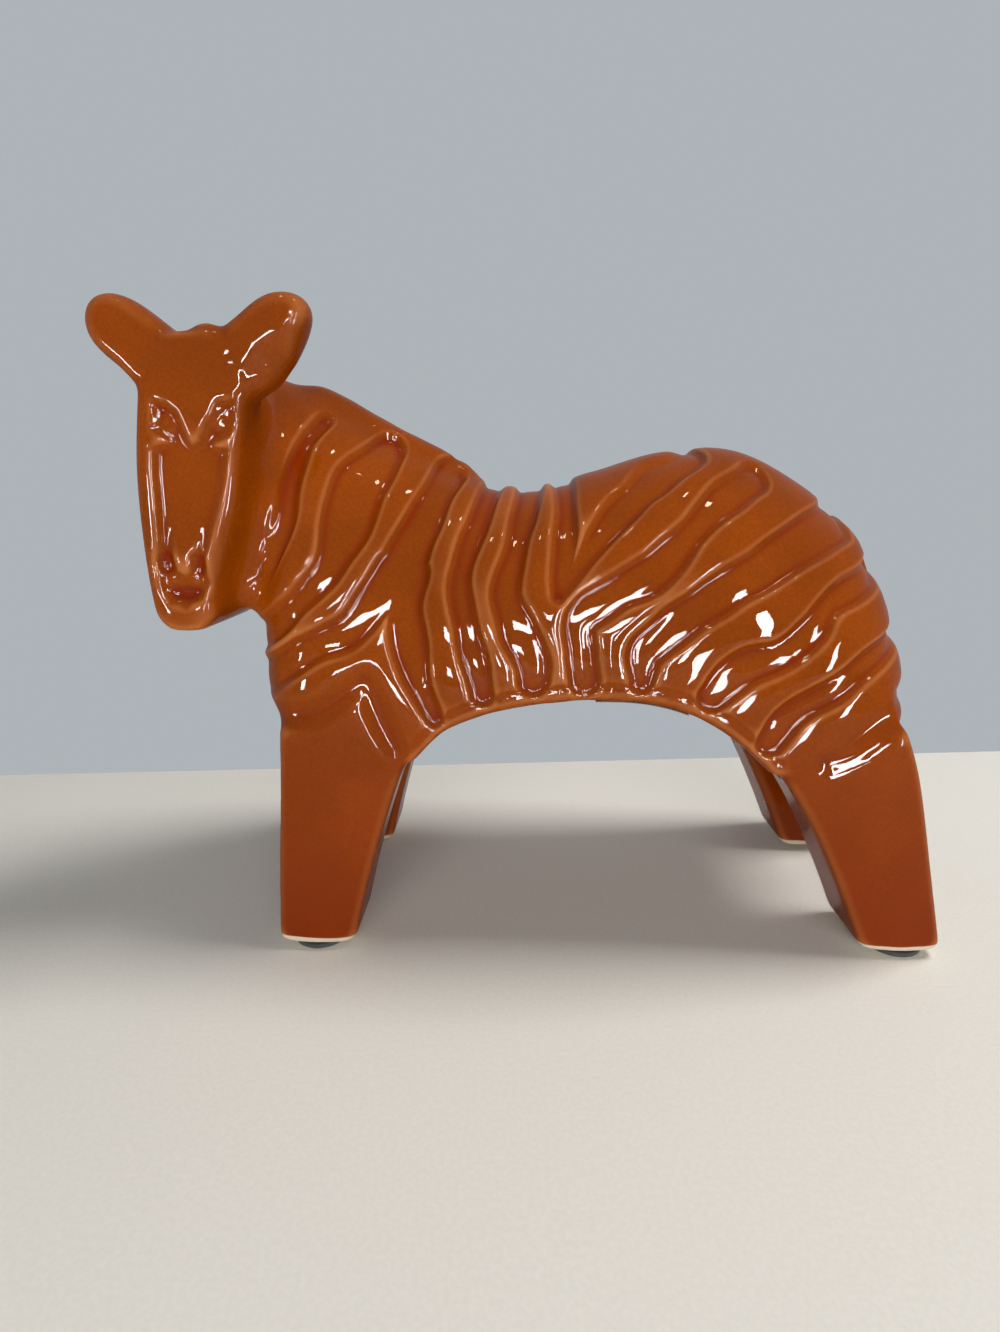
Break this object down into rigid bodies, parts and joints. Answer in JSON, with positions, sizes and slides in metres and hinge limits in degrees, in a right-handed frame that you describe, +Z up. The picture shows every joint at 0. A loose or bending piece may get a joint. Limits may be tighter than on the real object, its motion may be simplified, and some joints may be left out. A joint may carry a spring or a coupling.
{
  "type": "ceramic zebra figurine",
  "caption": "Standing glazed ceramic zebra ornament, head turned to the side, raised stripes on a hollow body, arched belly and blocky legs on felt pads.",
  "frame": {"origin": "on the ground under the middle of the object's bounding box", "axes": "+X from head to rump, +Y from the near side to the far side, +Z up"},
  "size_m": [0.228, 0.0908, 0.1776],
  "materials": {
    "glaze": "glossy amber glaze, pale on edges, dark in hollows",
    "felt": "black felt",
    "label": "blank dark paper sticker"
  },
  "bodies": {
    "root": {"near_side_shell": "glaze", "far_side_shell": "glaze", "head_shell": "glaze", "left_ear": "glaze", "right_ear": "glaze", "forelock": "glaze", "mane": "glaze", "tail": "glaze", "near_fore_leg": "glaze", "far_fore_leg": "glaze", "near_hind_leg": "glaze", "far_hind_leg": "glaze", "near_fore_pad": "felt", "far_fore_pad": "felt", "near_hind_pad": "felt", "far_hind_pad": "felt", "belly_label": "label"}
  },
  "joints": []
}
